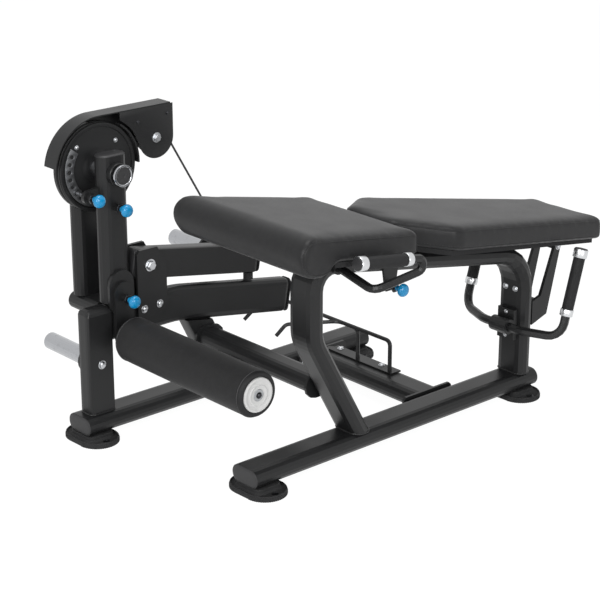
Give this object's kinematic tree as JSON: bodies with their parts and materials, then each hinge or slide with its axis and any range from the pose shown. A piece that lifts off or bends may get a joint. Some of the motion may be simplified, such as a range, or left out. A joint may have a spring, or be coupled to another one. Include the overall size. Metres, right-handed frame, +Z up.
{
  "type": "leg extension and hamstring machine",
  "caption": "Plate-loaded leg extension and hamstring bench with a cam-driven swing arm, roller pad, tilting pads, weight lever and hand grips.",
  "frame": {"origin": "centre of the near front foot's underside, on the floor", "axes": "+X from the knee end to the head end, +Y from the bench to the arm unit, +Z up"},
  "size_m": [1.358, 1.0775, 0.875],
  "materials": {
    "frame_steel": "fine satin black powder coat",
    "rubber": "matt black rubber",
    "zinc_steel": "turned, zinc plated",
    "chrome": "polished chrome",
    "upholstery": "matt black vinyl over foam",
    "board": "black covered plywood",
    "pull_pin": "blue ball knob",
    "black_plastic": "matt nylon",
    "white_cap": "white plastic cap"
  },
  "bodies": {
    "frame": {"near_base_beam": "frame_steel", "far_base_beam": "frame_steel", "foot_near_front": "rubber", "foot_near_rear": "rubber", "foot_far_front": "rubber", "foot_far_rear": "rubber", "rear_cross_beam": "frame_steel", "cross_plate_near": "frame_steel", "cross_plate_far": "frame_steel", "front_post": "frame_steel", "lower_rail": "frame_steel", "strut": "frame_steel", "hub_post_stub": "frame_steel", "hub_post": "frame_steel", "storage_horn_flange": "frame_steel", "storage_horn": "chrome", "front_cross_beam": "frame_steel", "cam_guard": "frame_steel", "pulley_bracket": "frame_steel", "guide_pulley_bolt": "zinc_steel", "lever_bracket_near": "frame_steel", "lever_bracket_far": "frame_steel", "lever_pivot_bolt": "zinc_steel", "lever_stop": "rubber", "cable": "zinc_steel", "bench_frame": "frame_steel", "rear_support": "frame_steel", "handlebar": "frame_steel", "handlebar_clamp": "frame_steel", "handlebar_grip_near": "rubber", "handlebar_grip_far": "rubber", "side_handle_near": "frame_steel", "side_handle_far": "frame_steel", "side_grip_near": "rubber", "side_grip_far": "rubber", "bar_rack": "frame_steel"},
    "cam": {"cam_disc": "frame_steel", "knee_shaft": "zinc_steel", "knee_shaft_cap": "chrome"},
    "arm": {"swing_arm": "frame_steel", "arm_hub_collar": "zinc_steel", "arm_bracket": "frame_steel"},
    "carriage": {"roller_carriage": "frame_steel", "roller_axle": "zinc_steel"},
    "roller": {"roller_pad": "upholstery", "roller_end_disc": "white_cap"},
    "start_pin": {"start_pin": "pull_pin"},
    "limit_pin": {"limit_pin": "pull_pin"},
    "height_pin": {"height_pin": "pull_pin"},
    "side_pin": {"side_pin": "pull_pin"},
    "guide_pulley": {"guide_pulley": "black_plastic"},
    "lever": {"weight_lever": "frame_steel", "load_horn_flange": "frame_steel", "load_horn": "chrome"},
    "front_seat": {"front_pad": "upholstery", "front_pad_board": "board"},
    "rear_seat": {"rear_pad": "upholstery", "rear_pad_board": "board"},
    "prop": {"pad_prop": "frame_steel"}
  },
  "joints": [
    {"name": "cam_turn", "type": "hinge", "parent": "frame", "child": "cam", "pos_m": [-0.04, 0.544, 0.734], "axis": [0, 1, 0], "range_deg": [0, 100]},
    {"name": "arm_start_setting", "type": "hinge", "parent": "cam", "child": "arm", "pos_m": [-0.04, 0.544, 0.734], "axis": [0, 1, 0], "range_deg": [0, 91]},
    {"name": "roller_height", "type": "slide", "parent": "arm", "child": "carriage", "axis": [0, 0, 1], "range_m": [0, 0.03]},
    {"name": "roller_spin", "type": "hinge", "parent": "carriage", "child": "roller", "pos_m": [-0.04, 0.2, 0.288], "axis": [0, 1, 0], "continuous": true},
    {"name": "start_pin_pull", "type": "slide", "parent": "arm", "child": "start_pin", "axis": [0, -1, 0], "range_m": [0, 0.01], "stiffness_N_per_m": 600},
    {"name": "limit_pin_pull", "type": "slide", "parent": "arm", "child": "limit_pin", "axis": [0, -1, 0], "range_m": [0, 0.01], "stiffness_N_per_m": 600},
    {"name": "height_pin_pull", "type": "slide", "parent": "carriage", "child": "height_pin", "axis": [0, -1, 0], "range_m": [0, 0.01], "stiffness_N_per_m": 600},
    {"name": "side_pin_pull", "type": "slide", "parent": "frame", "child": "side_pin", "axis": [0, -1, 0], "range_m": [0, 0.01], "stiffness_N_per_m": 600},
    {"name": "guide_pulley_turn", "type": "hinge", "parent": "frame", "child": "guide_pulley", "pos_m": [0.145, 0.6125, 0.785], "axis": [0, 1, 0], "range_deg": [-280, 0]},
    {"name": "lever_lift", "type": "hinge", "parent": "frame", "child": "lever", "pos_m": [0.055, 0.544, 0.463], "axis": [0, 1, 0], "range_deg": [-40, 0], "deforming": ["cable"]},
    {"name": "front_pad_tilt", "type": "hinge", "parent": "frame", "child": "front_seat", "pos_m": [0.02, 0, 0.628], "axis": [0, -1, 0], "range_deg": [0, 25]},
    {"name": "rear_pad_tilt", "type": "hinge", "parent": "frame", "child": "rear_seat", "pos_m": [1.08, 0, 0.43], "axis": [0, 1, 0], "range_deg": [0, 12]},
    {"name": "prop_swing", "type": "hinge", "parent": "rear_seat", "child": "prop", "pos_m": [0.41, 0.062, 0.5613], "axis": [0, 1, 0], "range_deg": [0, 85]}
  ],
  "couplings": [
    {"joint": "guide_pulley_turn", "follows": "cam_turn", "ratio": -2.786},
    {"joint": "lever_lift", "follows": "cam_turn", "ratio": -0.397},
    {"joint": "rear_pad_tilt", "follows": "front_pad_tilt", "ratio": 0.48}
  ]
}
